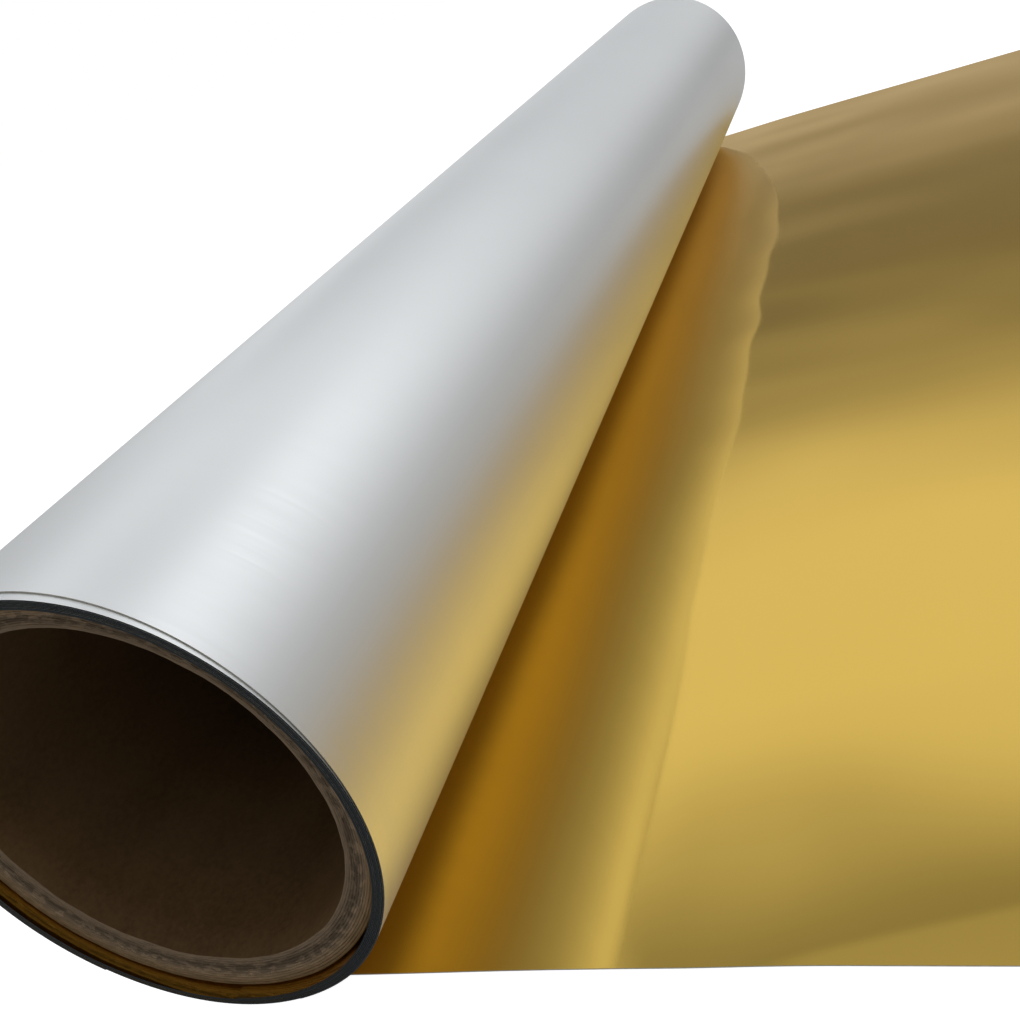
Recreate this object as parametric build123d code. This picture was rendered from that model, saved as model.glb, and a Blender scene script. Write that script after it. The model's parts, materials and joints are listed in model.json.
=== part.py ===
"""A part-used roll of sign vinyl: mirror-gold film on a silver release liner, wound gold side in
on a spiral-wound paperboard core, with a length of the web laid out flat from under the roll.

Millimetres. The origin is the middle of the core's bore. +Y runs along the roll, +X is the way
the web is laid out, and +Z is up. The laid-out web lies on the surface at z = -roll_radius.
"""

import os

from build123d import *

# The core, and the plies of board that it is wound from. Its ends are dished: the inner ply is
# set in from the outer one at each end
core_length = 630.0
bore_radius = 38.1
ply_count = 12
ply_thickness = 0.5
core_radius = bore_radius + ply_count * ply_thickness
end_dish = 1.1

# The web: film with its adhesive, on its liner
web_width = 630.0
film_thickness = 0.10
liner_thickness = 0.15
web_thickness = film_thickness + liner_thickness

# The start tape fills the gap between the core and the first turn
tape_thickness = 0.25
tape_length = 600.0
tape_start_angle = -84.0
tape_arc_angle = 32.0

# The wound turns, which spin with the core
wound_inner_radius = core_radius + tape_thickness
air_between_turns = 0.01
wound_pitch = web_thickness + air_between_turns
wound_half_turns = 9
wound_shift = -2.6

# The outermost turn, which the web passes through on its way off the roll
roll_radius = 46.5
outer_pitch = 0.30
outer_inner_radius = roll_radius - web_thickness - outer_pitch
outer_shift = wound_shift + 3.0

# The laid-out web, which leaves the roll a little askew
sheet_length = 600.0
sheet_shift = wound_shift + 6.0
sheet_slope = 0.032


def tube(inner_radius, thickness, length):
    """A plain tube along Y, centred on the origin."""
    ring = Circle(inner_radius + thickness) - Circle(inner_radius)
    return extrude(Plane.XZ * ring, amount=length / 2, both=True)


def spiral_band(inner_radius, thickness, pitch, half_turns, shift):
    """A band wound outwards, from the bottom of the roll by way of the +X side.

    Each half turn is a semicircle. Odd ones are centred half a pitch lower and are half a pitch
    larger, so that the radius grows by one pitch a turn and every join is smooth.
    """
    with BuildSketch(Plane.XZ) as profile:
        with BuildLine():
            for half in range(half_turns):
                centre = (0, -pitch / 2 if half % 2 else 0)
                radius = inner_radius + half * pitch / 2
                start = -90 + 180 * half
                CenterArc(centre, radius, start, 180)
                CenterArc(centre, radius + thickness, start, 180)
            last = inner_radius + (half_turns // 2) * pitch
            side = 1 if half_turns % 2 else -1
            Line((0, -inner_radius), (0, -inner_radius - thickness))
            Line((0, side * last), (0, side * (last + thickness)))
        make_face()
    return Pos(0, shift, 0) * extrude(profile.sketch, amount=web_width / 2, both=True)


def laid_web(height, thickness):
    """A flat layer of the laid-out web, with its underside this far above the surface."""
    near = sheet_shift - web_width / 2
    far = sheet_shift + web_width / 2
    drift = sheet_slope * sheet_length
    corners = [(0, near), (sheet_length, near + drift), (sheet_length, far + drift), (0, far)]
    outline = make_face(Polyline(*corners, close=True))
    return extrude(Pos(0, 0, height - roll_radius) * outline, amount=thickness)


def core_plies():
    """The nested plies of the core, named from the bore outwards."""
    plies = {}
    for number in range(ply_count):
        name = f"core_body_ply_{number:02d}"
        if number == 0:
            name = "core_inner_ply"
        if number == ply_count - 1:
            name = "core_outer_ply"
        set_in = end_dish * (1 - number / (ply_count - 1))
        length = core_length - 2 * set_in
        plies[name] = tube(bore_radius + number * ply_thickness, ply_thickness, length)
    return plies


def start_tape():
    """The strip of double-sided tape that holds the start of the web to the core."""
    with BuildSketch(Plane.XZ) as profile:
        with BuildLine():
            inner = CenterArc((0, 0), core_radius, tape_start_angle, tape_arc_angle)
            outer = CenterArc((0, 0), core_radius + tape_thickness, tape_start_angle, tape_arc_angle)
            Line(inner @ 0, outer @ 0)
            Line(inner @ 1, outer @ 1)
        make_face()
    return extrude(profile.sketch, amount=tape_length / 2, both=True)


def wound_web():
    """The film and liner of the turns that spin with the core. The film is on the inside."""
    liner_radius = wound_inner_radius + film_thickness
    return {
        "wound_film": spiral_band(
            wound_inner_radius, film_thickness, wound_pitch, wound_half_turns, wound_shift
        ),
        "wound_liner": spiral_band(
            liner_radius, liner_thickness, wound_pitch, wound_half_turns, wound_shift
        ),
    }


def outer_turn():
    """The film and liner of the outermost turn, ending where the web meets the surface."""
    liner_radius = outer_inner_radius + film_thickness
    return {
        "outer_turn_film": spiral_band(
            outer_inner_radius, film_thickness, outer_pitch, 2, outer_shift
        ),
        "outer_turn_liner": spiral_band(liner_radius, liner_thickness, outer_pitch, 2, outer_shift),
    }


def laid_out_web():
    """The film and liner that lie on the surface. The liner is underneath."""
    return {
        "sheet_liner": laid_web(0, liner_thickness),
        "sheet_film": laid_web(liner_thickness, film_thickness),
    }


nodes = {**core_plies(), "start_tape": start_tape(), **wound_web(), **outer_turn(), **laid_out_web()}
os.makedirs("parts", exist_ok=True)
for name, solid in nodes.items():
    export_step(solid, f"parts/{name}.step")
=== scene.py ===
"""The looks of a part-used roll of mirror-gold sign vinyl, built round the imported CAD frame.

Metres, in the CAD's own frame: +Y along the roll, +X the way the web is laid out, +Z up. mm()
turns millimetres into metres.
"""

import json
import math

import bpy
import numpy as np
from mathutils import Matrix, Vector, noise

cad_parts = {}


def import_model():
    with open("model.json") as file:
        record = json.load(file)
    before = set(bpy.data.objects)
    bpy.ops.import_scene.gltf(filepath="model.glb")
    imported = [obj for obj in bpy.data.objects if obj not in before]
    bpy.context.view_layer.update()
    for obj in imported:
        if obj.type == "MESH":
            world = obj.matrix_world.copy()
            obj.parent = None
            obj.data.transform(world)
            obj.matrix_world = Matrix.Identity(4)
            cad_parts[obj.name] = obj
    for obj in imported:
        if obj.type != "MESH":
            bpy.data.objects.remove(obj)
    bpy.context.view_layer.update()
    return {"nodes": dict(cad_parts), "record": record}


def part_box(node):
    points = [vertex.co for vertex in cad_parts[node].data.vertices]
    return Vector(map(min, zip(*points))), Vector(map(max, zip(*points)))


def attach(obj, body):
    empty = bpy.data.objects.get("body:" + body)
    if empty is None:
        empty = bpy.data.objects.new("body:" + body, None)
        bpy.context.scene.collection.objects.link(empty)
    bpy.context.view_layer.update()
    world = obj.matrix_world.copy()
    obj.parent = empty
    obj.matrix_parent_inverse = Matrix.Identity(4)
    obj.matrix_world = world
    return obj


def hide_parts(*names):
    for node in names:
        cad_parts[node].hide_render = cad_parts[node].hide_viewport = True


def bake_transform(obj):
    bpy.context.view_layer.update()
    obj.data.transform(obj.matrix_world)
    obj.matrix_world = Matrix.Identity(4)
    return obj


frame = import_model()


def mm(value):
    return value * 0.001


# ---------------------------------------------------------------- sizes from the frame

def radius_of(node):
    """A tube node's outer radius, from its box."""
    low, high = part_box(node)
    return (high[2] - low[2]) / 2


PLY_COUNT = 12
PLY_NODES = (
    ["core_inner_ply"]
    + [f"core_body_ply_{number:02d}" for number in range(1, PLY_COUNT - 1)]
    + ["core_outer_ply"]
)
BORE_RADIUS = mm(frame["record"]["mounts"][0]["dims"]["r_mm"])
CORE_RADIUS = radius_of("core_outer_ply")
PLY_THICKNESS = (CORE_RADIUS - BORE_RADIUS) / PLY_COUNT
FLOOR_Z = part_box("sheet_liner")[0][2]
ROLL_RADIUS = -FLOOR_Z
SHEET_END_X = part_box("sheet_film")[1][0]
WOUND_NEAR_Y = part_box("wound_liner")[0][1]
WOUND_FAR_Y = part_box("wound_liner")[1][1]
WEB_WIDTH = WOUND_FAR_Y - WOUND_NEAR_Y
FILM_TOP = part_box("sheet_film")[1][2] - FLOOR_Z
LINER_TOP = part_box("sheet_liner")[1][2] - FLOOR_Z
TAPE_THICKNESS = mm(0.25)
RUNNING_GAP = mm(0.02)
WOUND_INNER_RADIUS = CORE_RADIUS + TAPE_THICKNESS
WOUND_OUTER_RADIUS = ROLL_RADIUS - FILM_TOP - RUNNING_GAP
WOUND_TURNS = 7
WOUND_PITCH = (WOUND_OUTER_RADIUS - WOUND_INNER_RADIUS) / WOUND_TURNS


# ---------------------------------------------------------------- shape helpers

def smoothstep(value):
    """0 up to 0, 1 from 1 on, and a smooth rise between them."""
    value = min(max(value, 0), 1)
    return value * value * (3 - 2 * value)


def smooth_noise(x, y, z, seed):
    """Smooth noise from -1 to 1 at a point, about one lump to a unit of distance."""
    return noise.noise(Vector((x + 13.7 * seed, y - 7.3 * seed, z + 3.1 * seed)))


def lumps(x, y, z, seed):
    """The same noise, from 0 to 1."""
    return 0.5 + 0.5 * smooth_noise(x, y, z, seed)


def spread(start, *stretches):
    """Places from a start on, even over each stretch in turn: (where it ends, its points)."""
    places = [np.array([start])]
    for end, count in stretches:
        places.append(np.linspace(start, end, count)[1:])
        start = end
    return np.concatenate(places)


def add_piece(name, points, faces, face_materials, materials, sharp_degrees=35):
    """A mesh object with smooth faces, sharp where they meet at more than this angle."""
    mesh = bpy.data.meshes.new(name)
    mesh.from_pydata([tuple(p) for p in points], [], faces)
    for material in materials:
        mesh.materials.append(material)
    mesh.polygons.foreach_set("material_index", face_materials)
    mesh.polygons.foreach_set("use_smooth", [True] * len(mesh.polygons))
    mesh.set_sharp_from_angle(angle=math.radians(sharp_degrees))
    mesh.update()
    piece = bpy.data.objects.new(name, mesh)
    bpy.context.scene.collection.objects.link(piece)
    return piece


def shell_faces(rows, columns):
    """Faces of a closed thin shell: face side, back side and the four edges between them.

    The face side's points come first, row by row, and then the back side's. The second list
    gives each face's material: 0 on the face side, 1 on the back side and 2 on the edges.
    """
    back = rows * columns
    faces, kinds = [], []

    def at(row, column, side):
        return side * back + row * columns + column

    for row in range(rows - 1):
        for column in range(columns - 1):
            corners = [(row, column), (row, column + 1), (row + 1, column + 1), (row + 1, column)]
            faces.append([at(r, c, 0) for r, c in corners])
            kinds.append(0)
            faces.append([at(r, c, 1) for r, c in reversed(corners)])
            kinds.append(1)
    rim = [(0, c) for c in range(columns)]
    rim += [(r, columns - 1) for r in range(1, rows)]
    rim += [(rows - 1, c) for c in range(columns - 2, -1, -1)]
    rim += [(r, 0) for r in range(rows - 2, 0, -1)]
    for (r0, c0), (r1, c1) in zip(rim, rim[1:] + rim[:1]):
        faces.append([at(r1, c1, 0), at(r0, c0, 0), at(r0, c0, 1), at(r1, c1, 1)])
        kinds.append(2)
    return faces, kinds


def shell_piece(name, face_side, back_side, materials):
    """A closed thin shell between two grids of points, each rows x columns x 3."""
    rows, columns = face_side.shape[:2]
    faces, kinds = shell_faces(rows, columns)
    points = np.concatenate([face_side.reshape(-1, 3), back_side.reshape(-1, 3)])
    return add_piece(name, points, faces, kinds, materials)


# ---------------------------------------------------------------- materials

class Nodes:
    """A short way to write a material's or the world's node tree."""

    def __init__(self, name, world=False):
        self.material = bpy.data.worlds.new(name) if world else bpy.data.materials.new(name)
        self.material.use_nodes = True
        self.tree = self.material.node_tree
        self.shader = self.tree.nodes["Background" if world else "Principled BSDF"]

    def add(self, kind, **values):
        """A node. Each value goes to the socket of that name, or else to the node's setting."""
        node = self.tree.nodes.new(kind)
        for key, value in values.items():
            if key in node.inputs:
                node.inputs[key].default_value = value
            else:
                setattr(node, key, value)
        return node

    def link(self, source, target):
        self.tree.links.new(source, target)

    def set(self, **values):
        """Sets the shader's sockets, each to a constant or from another node's output."""
        for key, value in values.items():
            socket = self.shader.inputs[key.replace("_", " ")]
            if isinstance(value, bpy.types.NodeSocket):
                self.link(value, socket)
            else:
                socket.default_value = value

    def math(self, operation, a, b=None):
        """A calculation on one or two operands, each a number or another node's output."""
        node = self.add("ShaderNodeMath", operation=operation)
        for socket, value in zip(node.inputs, (a, b)):
            if value is None:
                continue
            if isinstance(value, (int, float)):
                socket.default_value = value
            else:
                self.link(value, socket)
        return node.outputs[0]

    def share(self, value, start, end, interpolation="LINEAR"):
        """0 at the start value and 1 at the end one, held at 0 and 1 beyond them."""
        node = self.add("ShaderNodeMapRange", interpolation_type=interpolation)
        self.link(value, node.inputs["Value"])
        node.inputs["From Min"].default_value = start
        node.inputs["From Max"].default_value = end
        return node.outputs[0]

    def split(self, vector):
        """A vector's x, y and z."""
        node = self.add("ShaderNodeSeparateXYZ")
        self.link(vector, node.inputs[0])
        return node.outputs

    def own_place(self):
        """The object's own coordinates."""
        return self.add("ShaderNodeTexCoord").outputs["Object"]

    def place(self, scale):
        """The object's own coordinates in lumps, from lumps a metre on each axis."""
        mapping = self.add("ShaderNodeMapping", Scale=scale)
        self.link(self.own_place(), mapping.inputs["Vector"])
        return mapping.outputs["Vector"]

    def radius(self):
        """Distance from the roll's axis, in metres."""
        x, _, z = self.split(self.own_place())
        square = self.math("ADD", self.math("MULTIPLY", x, x), self.math("MULTIPLY", z, z))
        return self.math("SQRT", square)

    def round_place(self, around, along, outwards):
        """Coordinates that run round the roll's axis with no seam, from lumps a metre."""
        x, y, z = self.split(self.own_place())
        radius = self.radius()
        reach = around * ROLL_RADIUS
        cosine = self.math("MULTIPLY", self.math("DIVIDE", x, radius), reach)
        sine = self.math("MULTIPLY", self.math("DIVIDE", z, radius), reach)
        third = self.math(
            "ADD", self.math("MULTIPLY", y, along), self.math("MULTIPLY", radius, outwards)
        )
        join = self.add("ShaderNodeCombineXYZ")
        for socket, value in zip(join.inputs, (cosine, sine, third)):
            self.link(value, socket)
        return join.outputs[0]

    def spiral_seam(self, pitch, half_width):
        """1 on a line that winds along the roll's axis, once a pitch, and 0 off it."""
        x, y, z = self.split(self.own_place())
        turn = self.math("DIVIDE", self.math("ARCTAN2", z, x), 2 * math.pi)
        share = self.math("FRACT", self.math("ADD", turn, self.math("DIVIDE", y, pitch)))
        off = self.math("ABSOLUTE", self.math("SUBTRACT", share, 0.5))
        return self.math("LESS_THAN", off, half_width)

    def tinted(self, colour, shade):
        """A colour times a shade of grey."""
        scaled = self.add("ShaderNodeVectorMath", operation="SCALE")
        self.link(colour, scaled.inputs[0])
        self.link(shade, scaled.inputs["Scale"])
        return scaled.outputs[0]

    def dimming(self, mask, amount):
        """1 where a mask is 0, and lower by this amount where it is 1."""
        return self.math("SUBTRACT", 1.0, self.math("MULTIPLY", mask, amount))

    def noise(self, vector, detail, roughness=0.5):
        node = self.add("ShaderNodeTexNoise", Scale=1.0, Detail=detail, Roughness=roughness)
        self.link(vector, node.inputs["Vector"])
        return node.outputs["Fac"]

    def ramp(self, factor, *stops):
        """Stops are (position, value or colour)."""
        node = self.add("ShaderNodeValToRGB")
        elements = node.color_ramp.elements
        while len(elements) < len(stops):
            elements.new(0.5)
        for element, (position, colour) in zip(elements, stops):
            element.position = position
            if isinstance(colour, (int, float)):
                colour = (colour, colour, colour)
            element.color = (*colour, 1)
        self.link(factor, node.inputs["Fac"])
        return node.outputs["Color"]

    def bump(self, height, distance, strength, under=None):
        node = self.add("ShaderNodeBump", Strength=strength, Distance=distance)
        self.link(height, node.inputs["Height"])
        if under is not None:
            self.link(under, node.inputs["Normal"])
        return node.outputs["Normal"]


def gold_film():
    """Metallised mirror gold: nearly a mirror, with the faint orange peel of a coated film."""
    m = Nodes("gold_film")
    tint = m.noise(m.place((6, 3, 6)), 3.0)
    haze = m.noise(m.place((30, 8, 30)), 4.0)
    broad = m.bump(m.noise(m.place((28, 12, 28)), 1.0), mm(0.25), 0.5)
    fine = m.bump(m.noise(m.place((900, 900, 900)), 2.0), mm(0.002), 0.4, broad)
    m.set(
        Metallic=1.0,
        Specular_Tint=(1.0, 0.88, 0.74, 1),
        Base_Color=m.ramp(tint, (0.3, (0.71, 0.47, 0.098)), (0.7, (0.74, 0.50, 0.110))),
        Roughness=m.ramp(haze, (0.3, 0.055), (0.75, 0.085)),
        Normal=fine,
    )
    return m.material


def silver_liner():
    """Satin silver, drawn very finely round the roll."""
    m = Nodes("silver_liner")
    shade = m.noise(m.round_place(8, 8, 0), 3.0)
    streaks = m.noise(m.round_place(25, 1800, 0), 3.0, 0.6)
    m.set(
        Metallic=0.88,
        Base_Color=m.ramp(shade, (0.3, (0.87, 0.875, 0.875)), (0.7, (0.91, 0.915, 0.915))),
        Roughness=m.ramp(streaks, (0.3, 0.36), (0.7, 0.44)),
        Normal=m.bump(streaks, mm(0.01), 0.25),
    )
    return m.material


# How far a single layer's edge is set in from the wound turns' where it still carries their
# stack's painted shade, and where it is as pale as on its own
DARK_EDGE_SET_IN = mm(0.15)
BRIGHT_EDGE_SET_IN = mm(0.7)


def web_edge_painted_light():
    """The slit edge of a single layer: pale grey on its own, partly a painted highlight, and
    painted shade where flush with the stack.
    """
    m = Nodes("web_edge_painted_light")
    _, y, _ = m.split(m.own_place())
    set_in = m.share(y, WOUND_NEAR_Y + DARK_EDGE_SET_IN, WOUND_NEAR_Y + BRIGHT_EDGE_SET_IN)
    chips = m.noise(m.place((700, 700, 700)), 3.0)
    # pale grey: partly the edge's own colour and partly a painted highlight of the light the slit
    # edge catches; the chips are its own
    pale_tone_and_highlight = m.ramp(chips, (0.3, (0.34, 0.32, 0.27)), (0.7, (0.50, 0.48, 0.42)))
    # painted shade: darkened to the stack's painted shade where the edge lies flush with it
    shade = m.ramp(set_in, (0.0, 0.04), (1.0, 1.0))
    m.set(
        Roughness=0.5,
        Base_Color=m.tinted(pale_tone_and_highlight, shade),
        Normal=m.bump(chips, mm(0.02), 0.4),
    )
    return m.material


def stack_edge_painted_shade():
    """The wound turns' slit edges: blue-black painted shade, each layer a hair different."""
    m = Nodes("stack_edge_painted_shade")
    layers = m.noise(m.round_place(10, 0, 9000), 2.0)
    # painted shade: the edges' near-black stands for the shade on the roll's unlit end; the change
    # from layer to layer is their own
    dark, light = (0.0060, 0.0090, 0.0100), (0.0170, 0.0220, 0.0235)
    m.set(
        Roughness=0.55,
        Specular_IOR_Level=0.2,
        Base_Color=m.ramp(layers, (0.35, dark), (0.7, light)),
        Normal=m.bump(layers, mm(0.03), 0.4),
    )
    return m.material


# Board tones from the bore outwards, by share of the wall
BOARD_TONES = (
    (0.00, (0.200, 0.142, 0.090)),
    (0.20, (0.190, 0.133, 0.082)),
    (0.36, (0.150, 0.105, 0.065)),
    (0.55, (0.270, 0.192, 0.122)),
    (0.75, (0.250, 0.168, 0.095)),
    (1.00, (0.155, 0.096, 0.043)),
)
# How far the tones wander in and out, as a share of the wall
BOARD_WANDER = 0.16
# Where the board is torn open, by share of the wall, and how much darker the tears are
TORN_BAND = ((0.12, 0.0), (0.34, 1.0), (0.50, 1.0), (0.75, 0.25))
TORN_DIMMING = 0.42


def board_end():
    """The core's end: a light lip at the bore, a dark torn groove, and streaky grey board."""
    m = Nodes("board_end")
    depth = m.share(m.radius(), BORE_RADIUS, CORE_RADIUS)
    wander = m.math("MULTIPLY", m.noise(m.round_place(120, 0, 0), 2.0), BOARD_WANDER)
    place = m.math("ADD", m.math("SUBTRACT", depth, BOARD_WANDER / 2), wander)
    streaks = m.noise(m.round_place(260, 0, 2600), 3.0, 0.65)
    patches = m.noise(m.round_place(380, 0, 900), 2.0, 0.6)
    torn = m.math(
        "MULTIPLY", m.ramp(patches, (0.47, 1.0), (0.56, 0.0)), m.ramp(place, *TORN_BAND)
    )
    shade = m.math("MULTIPLY", m.math("ADD", streaks, 0.5), m.dimming(torn, TORN_DIMMING))
    relief = m.math("SUBTRACT", m.math("MULTIPLY", streaks, 0.6), m.math("MULTIPLY", torn, 0.8))
    m.set(
        Roughness=0.9,
        Specular_IOR_Level=0.2,
        Base_Color=m.tinted(m.ramp(place, *BOARD_TONES), shade),
        Normal=m.bump(relief, mm(0.3), 0.8),
    )
    return m.material


# The inner ply's spiral seam: how far apart its turns are along the roll, half its width as a
# share of that, and how much darker it is
SEAM_PITCH = mm(118)
SEAM_HALF_WIDTH = 0.004
SEAM_DIMMING = 0.55


def board_bore():
    """The inside of the core: brown board with specks and the spiral seam of its inner ply."""
    m = Nodes("board_bore")
    cloud = m.noise(m.round_place(30, 12, 0), 4.0, 0.6)
    specks = m.noise(m.place((900, 700, 900)), 3.0, 0.7)
    mixed = m.math("ADD", m.math("MULTIPLY", cloud, 0.6), m.math("MULTIPLY", specks, 0.4))
    colour = m.ramp(mixed, (0.36, (0.075, 0.038, 0.012)), (0.64, (0.130, 0.072, 0.028)))
    seam = m.spiral_seam(SEAM_PITCH, SEAM_HALF_WIDTH)
    relief = m.math("SUBTRACT", m.math("MULTIPLY", mixed, 0.35), seam)
    m.set(
        Roughness=0.8,
        Specular_IOR_Level=0.2,
        Base_Color=m.tinted(colour, m.dimming(seam, SEAM_DIMMING)),
        Normal=m.bump(relief, mm(0.15), 0.7),
    )
    return m.material


def tissue_tape():
    """Off-white tissue, with its fibres just showing."""
    m = Nodes("tissue_tape")
    fibres = m.noise(m.round_place(300, 300, 0), 4.0)
    m.set(
        Roughness=0.7,
        Base_Color=m.ramp(fibres, (0.3, (0.70, 0.68, 0.60)), (0.7, (0.82, 0.80, 0.73))),
        Normal=m.bump(fibres, mm(0.02), 0.5),
    )
    return m.material


# ---------------------------------------------------------------- the web

# The outermost turn covers this share of the roll. It thins away over the last of its turn, down
# to a share of the web's thickness, so that no step shows where it ends
OUTER_TURN_SHARE = 0.95
TAPER_ANGLE = math.radians(28)
THINNEST_SHARE = 0.04

# The web leaves the roll a little askew: its near edge is flush with the roll's near end at
# first. From EDGE_START on, measured along the web from where it leaves the roll, the edge is
# set in by an amount that grows towards the laid-out end
EDGE_SLOPE = 0.0295
EDGE_BEND = mm(10)
EDGE_START = mm(-213)

# The laid-out web's long waves and shorter ripples, which grow over a stretch from where it has
# left the roll. Where these and the puckers are worked out, x and y are times lumps a metre
WAVE_HEIGHT = mm(0.9)
RIPPLE_HEIGHT = mm(0.24)
WAVE_START = mm(12)
WAVE_GROWTH = mm(70)

# The puckers by the roll, which end again after a stretch
PUCKER_HEIGHT = mm(0.7)
PUCKER_GROWTH = mm(50)
PUCKER_END = mm(170)
PUCKER_FADE = mm(80)

# The crease near the web's near edge: where it starts, the way it runs, its height and length,
# how it grows, fades and wanders along its run, and how far the web falls away from it towards
# the near edge and the other way
CREASE_START = (mm(80), mm(-313))
CREASE_ANGLE = math.radians(16.5)
CREASE_HEIGHT = mm(0.6)
CREASE_LENGTH = mm(150)
CREASE_GROWTH = mm(30)
CREASE_FADE = mm(60)
CREASE_WANDER = mm(0.7)
CREASE_NEAR_SIDE = mm(13)
CREASE_FAR_SIDE = mm(26)

# The free end curls up over its last stretch
CURL_LENGTH = mm(110)
CURL_HEIGHT = mm(7)
CURL_POWER = 2.2

# Points along the web, in stretches of (where it ends, its points): the outermost turn, the
# stretch by the roll, the one with the crease, and the rest. Across the web they are in strips,
# by share of its width
WEB_STRETCHES = ((0, 160), (mm(75), 28), (mm(190), 76), (SHEET_END_X, 90))
WEB_STRIPS = ((0.055, 30), (1, 106))

# The wound turns: points in a turn, the part of a turn that climbs onto the one under it, the
# rows of points across the web, and how far each turn's edge wanders from the next one's
WOUND_STEPS = 160
CLIMB_SHARE = 0.1
WOUND_ROWS = (0, 0.004, 0.5, 0.996, 1)
WOUND_WANDER = mm(0.10)


def edge_set_in(along):
    """How far the web's edge is shifted along +Y at a place along it. 0 is where it leaves."""
    reach = (along - EDGE_START) / EDGE_BEND
    return EDGE_SLOPE * EDGE_BEND * math.log1p(math.exp(min(reach, 200)))


def undulation(x, y):
    """How far the laid-out web stands off the surface, without its crease and curl."""
    waves = WAVE_HEIGHT * lumps(x * 5, y * 11, 0, seed=1)
    ripples = RIPPLE_HEIGHT * lumps(x * 9, y * 26, 0, seed=2)
    puckers = PUCKER_HEIGHT * lumps(x * 14, y * 24, 0, seed=3)
    fade = smoothstep((x - WAVE_START) / WAVE_GROWTH)
    by_roll = smoothstep((x - WAVE_START) / PUCKER_GROWTH)
    by_roll *= smoothstep((PUCKER_END - x) / PUCKER_FADE)
    return fade * (waves + ripples) + by_roll * puckers


def crease(x, y):
    """A soft crease that runs off the web's near edge, which hangs down from it."""
    dx, dy = x - CREASE_START[0], y - CREASE_START[1]
    cosine, sine = math.cos(CREASE_ANGLE), math.sin(CREASE_ANGLE)
    along = dx * cosine + dy * sine
    off = dy * cosine - dx * sine + CREASE_WANDER * smooth_noise(along * 60, 0, 0, seed=4)
    strength = smoothstep(along / CREASE_GROWTH)
    strength *= smoothstep((CREASE_LENGTH - along) / CREASE_FADE)
    if off < 0:
        return CREASE_HEIGHT * strength * max(0, 1 + off / CREASE_NEAR_SIDE)
    return CREASE_HEIGHT * strength * math.exp(-((off / CREASE_FAR_SIDE) ** 2))


def web_place(along, y):
    """(point on the liner's outer face, direction towards the film) at a place on the web.

    The direction's length is the share of the web's thickness that is left there.
    """
    if along <= 0:
        turned = -along / ROLL_RADIUS
        angle = math.radians(270) - turned
        out = np.array([math.cos(angle), 0, math.sin(angle)])
        left = (2 * math.pi * OUTER_TURN_SHARE - turned) / TAPER_ANGLE
        kept = THINNEST_SHARE + (1 - THINNEST_SHARE) * smoothstep(left)
        radius = ROLL_RADIUS - FILM_TOP * (1 - kept)
        return out * radius + np.array([0, y, 0]), -out * kept
    curl = max(0, 1 - (SHEET_END_X - along) / CURL_LENGTH)
    lift = undulation(along, y) + crease(along, y) + CURL_HEIGHT * curl**CURL_POWER
    return np.array([along, y, FLOOR_Z + lift]), np.array([0, 0, 1.0])


def web_layer(name, bottom, top, materials):
    """One layer of the web, between two heights above the liner's outer face.

    Points are closer together along the crease and near the web's near edge.
    """
    turn = 2 * math.pi * ROLL_RADIUS * OUTER_TURN_SHARE
    stations = spread(-turn, *WEB_STRETCHES)
    across = spread(0, *WEB_STRIPS)
    low = np.zeros((len(stations), len(across), 3))
    high = np.zeros_like(low)
    for i, along in enumerate(stations):
        near = WOUND_NEAR_Y + edge_set_in(along)
        for j, share in enumerate(across):
            point, inward = web_place(along, near + share * WEB_WIDTH)
            low[i, j] = point + inward * bottom
            high[i, j] = point + inward * top
    return shell_piece(name, high, low, materials)


def wound_layer(name, bottom, top, materials):
    """One layer of the wound turns. Each turn's edge wanders a little from the next one's.

    A turn lies evenly on the one under it, and climbs onto it over the last part of its turn.
    """
    steps = WOUND_STEPS * WOUND_TURNS + 1
    turns = np.linspace(0, WOUND_TURNS - CLIMB_SHARE, steps)
    low = np.zeros((steps, len(WOUND_ROWS), 3))
    high = np.zeros_like(low)
    for i, turn in enumerate(turns):
        angle = 2 * math.pi * turn - math.pi / 2
        out = np.array([math.cos(angle), 0, math.sin(angle)])
        climbed = math.floor(turn) + smoothstep((turn % 1 - 1 + CLIMB_SHARE) / CLIMB_SHARE)
        inner = WOUND_INNER_RADIUS + climbed * WOUND_PITCH
        wander = WOUND_WANDER * smooth_noise(turn * 1.3, 0, 0, seed=5)
        for j, share in enumerate(WOUND_ROWS):
            y = np.array([0, WOUND_NEAR_Y + wander + share * WEB_WIDTH, 0])
            low[i, j] = out * (inner + FILM_TOP - bottom) + y
            high[i, j] = out * (inner + FILM_TOP - top) + y
    return shell_piece(name, low, high, materials)


# ---------------------------------------------------------------- the core

# A ply's ends are softened by this much, and uneven by these depths: gently, and torn more
# finely, most of all about the ply in the groove
PLY_SOFTNESS = mm(0.09)
RAGGED_DEPTH = mm(0.16)
TORN_DEPTH = mm(0.05)
GROOVE_TORN_DEPTH = mm(0.14)
GROOVE_PLY = 4
GROOVE_SPREAD = 2.2
# The inner ply's lip is dented outwards by up to this much
LIP_DENT = mm(0.25)
# A point this close to a ply's end belongs to the end
END_REACH = mm(0.2)
PLY_SEGMENTS = 288
BORE_ROWS = 90


def ply_section(number, near, far):
    """A ply's section as (radius, y): across its near end, then back across its far end."""
    inner = BORE_RADIUS + number * PLY_THICKNESS
    outer = inner + PLY_THICKNESS
    soft = PLY_SOFTNESS
    end = [(inner, soft), (inner + soft, 0), ((inner + outer) / 2, -soft / 3)]
    end += [(outer - soft, 0), (outer, soft)]
    section = [(radius, near + set_in) for radius, set_in in end]
    section += [(radius, far - set_in) for radius, set_in in reversed(end)]
    return section


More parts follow.
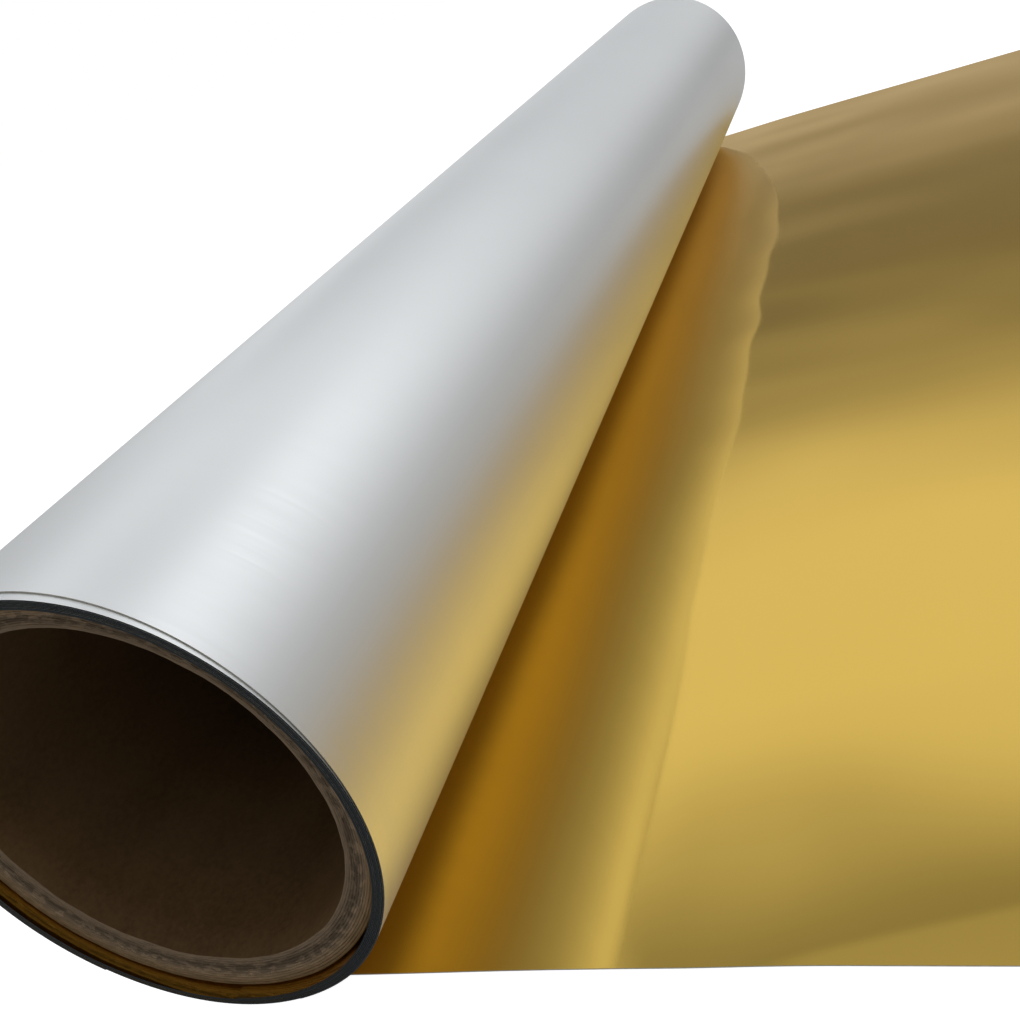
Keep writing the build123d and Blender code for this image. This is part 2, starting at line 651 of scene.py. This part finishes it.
def ply(number, material, bore_material):
    """One ply of the core: a tube with soft, slightly ragged ends."""
    node = PLY_NODES[number]
    low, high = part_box(node)
    near, far = low[1], high[1]
    section = ply_section(number, near, far)
    bore_start = len(section) - 1
    if number == 0:
        radius, last = section[-1]
        first = section[0][1]
        section += [(radius, y) for y in np.linspace(last, first, BORE_ROWS)[1:-1]]
    torn = TORN_DEPTH + GROOVE_TORN_DEPTH * math.exp(-((number - GROOVE_PLY) / GROOVE_SPREAD) ** 2)
    points, faces, kinds = [], [], []
    for step in range(PLY_SEGMENTS):
        angle = 2 * math.pi * step / PLY_SEGMENTS
        c, s = math.cos(angle), math.sin(angle)
        ragged = RAGGED_DEPTH * smooth_noise(c * 5, s * 5, number * 2.3, seed=7)
        ragged += torn * smooth_noise(c * 40, s * 40, number * 4.1, seed=8)
        for radius, y in section:
            at_end = min(abs(y - near), abs(y - far)) < END_REACH
            dent = 0
            if number == 0 and at_end:
                dent = LIP_DENT * lumps(c * 9, s * 9, y * 10, seed=9)
            points.append(((radius + dent) * c, y + ragged * at_end, (radius + dent) * s))
    count = len(section)
    for step in range(PLY_SEGMENTS):
        following = (step + 1) % PLY_SEGMENTS
        for i in range(count):
            k = (i + 1) % count
            faces.append(
                [step * count + i, following * count + i, following * count + k, step * count + k]
            )
            on_bore = number == 0 and i >= bore_start
            kinds.append(1 if on_bore else 0)
    materials = [material, bore_material]
    piece = add_piece(f"{node}_board", points, faces, kinds, materials, sharp_degrees=60)
    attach(piece, "roll")
    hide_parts(node)


# ---------------------------------------------------------------- build

gold = gold_film()
silver = silver_liner()
single_edge_painted_light = web_edge_painted_light()
wound_edge_painted_shade = stack_edge_painted_shade()
end_board = board_end()
bore_board = board_bore()

for number in range(PLY_COUNT):
    ply(number, end_board, bore_board)

web_film = web_layer("web_film", LINER_TOP, FILM_TOP, [gold, gold, single_edge_painted_light])
web_liner = web_layer("web_liner", 0, LINER_TOP, [silver, silver, single_edge_painted_light])
for piece, kind in ((web_film, "film"), (web_liner, "liner")):
    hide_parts(f"outer_turn_{kind}", f"sheet_{kind}")
    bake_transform(piece)

film_faces = [gold, gold, wound_edge_painted_shade]
liner_faces = [silver, silver, wound_edge_painted_shade]
wound_film = wound_layer("wound_film_turns", LINER_TOP, FILM_TOP, film_faces)
wound_liner = wound_layer("wound_liner_turns", 0, LINER_TOP, liner_faces)
for piece, kind in ((wound_film, "film"), (wound_liner, "liner")):
    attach(piece, "roll")
    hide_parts(f"wound_{kind}")

tape = frame["nodes"]["start_tape"]
tape.data.materials.clear()
tape.data.materials.append(tissue_tape())


# ---------------------------------------------------------------- floor, light and camera

# The floor's own light: what it casts on the roll, and what makes it look white to the camera
FLOOR_GLOW = 0.15
FLOOR_WHITE = 0.90
FLOOR_HALF_SIZE = 6.0
FLOOR_GAP = mm(0.02)

# Soft lights all round: (heading, elevation, spread in degrees, strength). The last one takes
# light away, as a black flag does in front of the open end of the core
GLOWS = (
    (-50, 3, 20, 0.20),
    (-28, 6, 14, 0.60),
    (-26, 50, 14, 0.85),
    (-120, 40, 25, 0.25),
    (24, 44, 16, 1.05),
    (44, 20, 16, 0.22),
    (125, 12, 24, 0.25),
    (180, 68, 16, 1.10),
    (0, 88, 28, 0.26),
    (176, 0, 26, -0.14),
)
AMBIENT = 0.20
STUDIO_TINT = (0.955, 0.98, 1.0, 1)

# The wide softbox at the far end, as brightness against the sine of the elevation
BOX_PROFILE = (
    (0.00, 1.20),
    (0.14, 0.74),
    (0.24, 0.37),
    (0.33, 0.17),
    (0.42, 0.56),
    (0.52, 1.03),
    (0.66, 1.07),
    (0.745, 0.21),
    (0.82, 0.55),
    (1.00, 0.60),
)
BOX_HEADING = math.radians(-12)
BOX_HALF_ANGLE = 0.27
BOX_FADE_ANGLE = 0.20
# Towards the zenith the softbox fades out between these sines of the elevation
BOX_TOP_START = 0.83
BOX_TOP_END = 0.96

CAMERA_PLACE = (mm(137.8), mm(-421.2), mm(102.7))
CAMERA_TURN_DEGREES = (62.98, 18.79, 16.27)
LENS_MM = 38.56
SENSOR_WIDTH_MM = 36


def floor():
    """A plain pale floor just under the liner. It looks whiter than the light that it casts."""
    half = FLOOR_HALF_SIZE
    z = FLOOR_Z - FLOOR_GAP
    mesh = bpy.data.meshes.new("floor")
    corners = [(-half, -half, z), (half, -half, z), (half, half, z), (-half, half, z)]
    mesh.from_pydata(corners, [], [(0, 1, 2, 3)])
    m = Nodes("floor")
    seen = m.add("ShaderNodeLightPath").outputs["Is Camera Ray"]
    extra = m.math("MULTIPLY", seen, FLOOR_WHITE - FLOOR_GLOW)
    m.set(
        Roughness=0.9,
        Specular_IOR_Level=0.1,
        Base_Color=(0.5, 0.5, 0.5, 1),
        Emission_Color=(1, 1, 1, 1),
        Emission_Strength=m.math("ADD", extra, FLOOR_GLOW),
    )
    mesh.materials.append(m.material)
    piece = bpy.data.objects.new("floor", mesh)
    bpy.context.scene.collection.objects.link(piece)


def direction(heading, elevation):
    """A unit vector. Heading is in degrees from +Y towards +X."""
    h, e = math.radians(heading), math.radians(elevation)
    return (math.sin(h) * math.cos(e), math.cos(h) * math.cos(e), math.sin(e))


def glow_light(m, way):
    """The ambient light and the glows, by the way that a ray goes."""
    light = AMBIENT
    for heading, elevation, spread_angle, strength in GLOWS:
        dot = m.add("ShaderNodeVectorMath", operation="DOT_PRODUCT")
        m.link(way, dot.inputs[0])
        dot.inputs[1].default_value = direction(heading, elevation)
        off = m.math("SUBTRACT", dot.outputs["Value"], 1.0)
        sharpness = 1 / math.radians(spread_angle) ** 2
        glow = m.math("EXPONENT", m.math("MULTIPLY", off, sharpness))
        light = m.math("ADD", m.math("MULTIPLY", glow, strength), light)
    return light


def world():
    """A studio of soft light: a wide softbox past the roll's far end, and broad glows.

    The camera itself sees plain white.
    """
    m = Nodes("studio", world=True)
    bpy.context.scene.world = m.material
    way = m.add("ShaderNodeTexCoord").outputs["Generated"]
    x, y, z = m.split(way)
    turned = m.math("ABSOLUTE", m.math("SUBTRACT", m.math("ARCTAN2", x, y), BOX_HEADING))
    edge = BOX_HALF_ANGLE + BOX_FADE_ANGLE
    window = m.share(turned, edge, BOX_HALF_ANGLE, "SMOOTHSTEP")
    top = m.share(z, BOX_TOP_END, BOX_TOP_START, "SMOOTHSTEP")
    profile = m.ramp(z, *BOX_PROFILE)
    profile.node.color_ramp.interpolation = "B_SPLINE"
    mix = m.add("ShaderNodeMix", data_type="FLOAT")
    m.link(m.math("MULTIPLY", window, top), mix.inputs["Factor"])
    m.link(glow_light(m, way), mix.inputs["A"])
    m.link(profile, mix.inputs["B"])
    m.set(Strength=mix.outputs["Result"], Color=STUDIO_TINT)
    plain = m.add("ShaderNodeBackground", Strength=1.0, Color=(1, 1, 1, 1))
    seen = m.add("ShaderNodeMixShader")
    m.link(m.add("ShaderNodeLightPath").outputs["Is Camera Ray"], seen.inputs[0])
    m.link(m.shader.outputs[0], seen.inputs[1])
    m.link(plain.outputs[0], seen.inputs[2])
    m.link(seen.outputs[0], m.tree.nodes["World Output"].inputs["Surface"])


def camera():
    data = bpy.data.cameras.new("camera")
    data.lens = LENS_MM
    data.sensor_width = SENSOR_WIDTH_MM
    data.clip_start = mm(10)
    view = bpy.data.objects.new("camera", data)
    view.location = CAMERA_PLACE
    view.rotation_euler = [math.radians(angle) for angle in CAMERA_TURN_DEGREES]
    bpy.context.scene.collection.objects.link(view)
    bpy.context.scene.camera = view


floor()
world()
camera()
bpy.context.scene.view_settings.view_transform = "Standard"
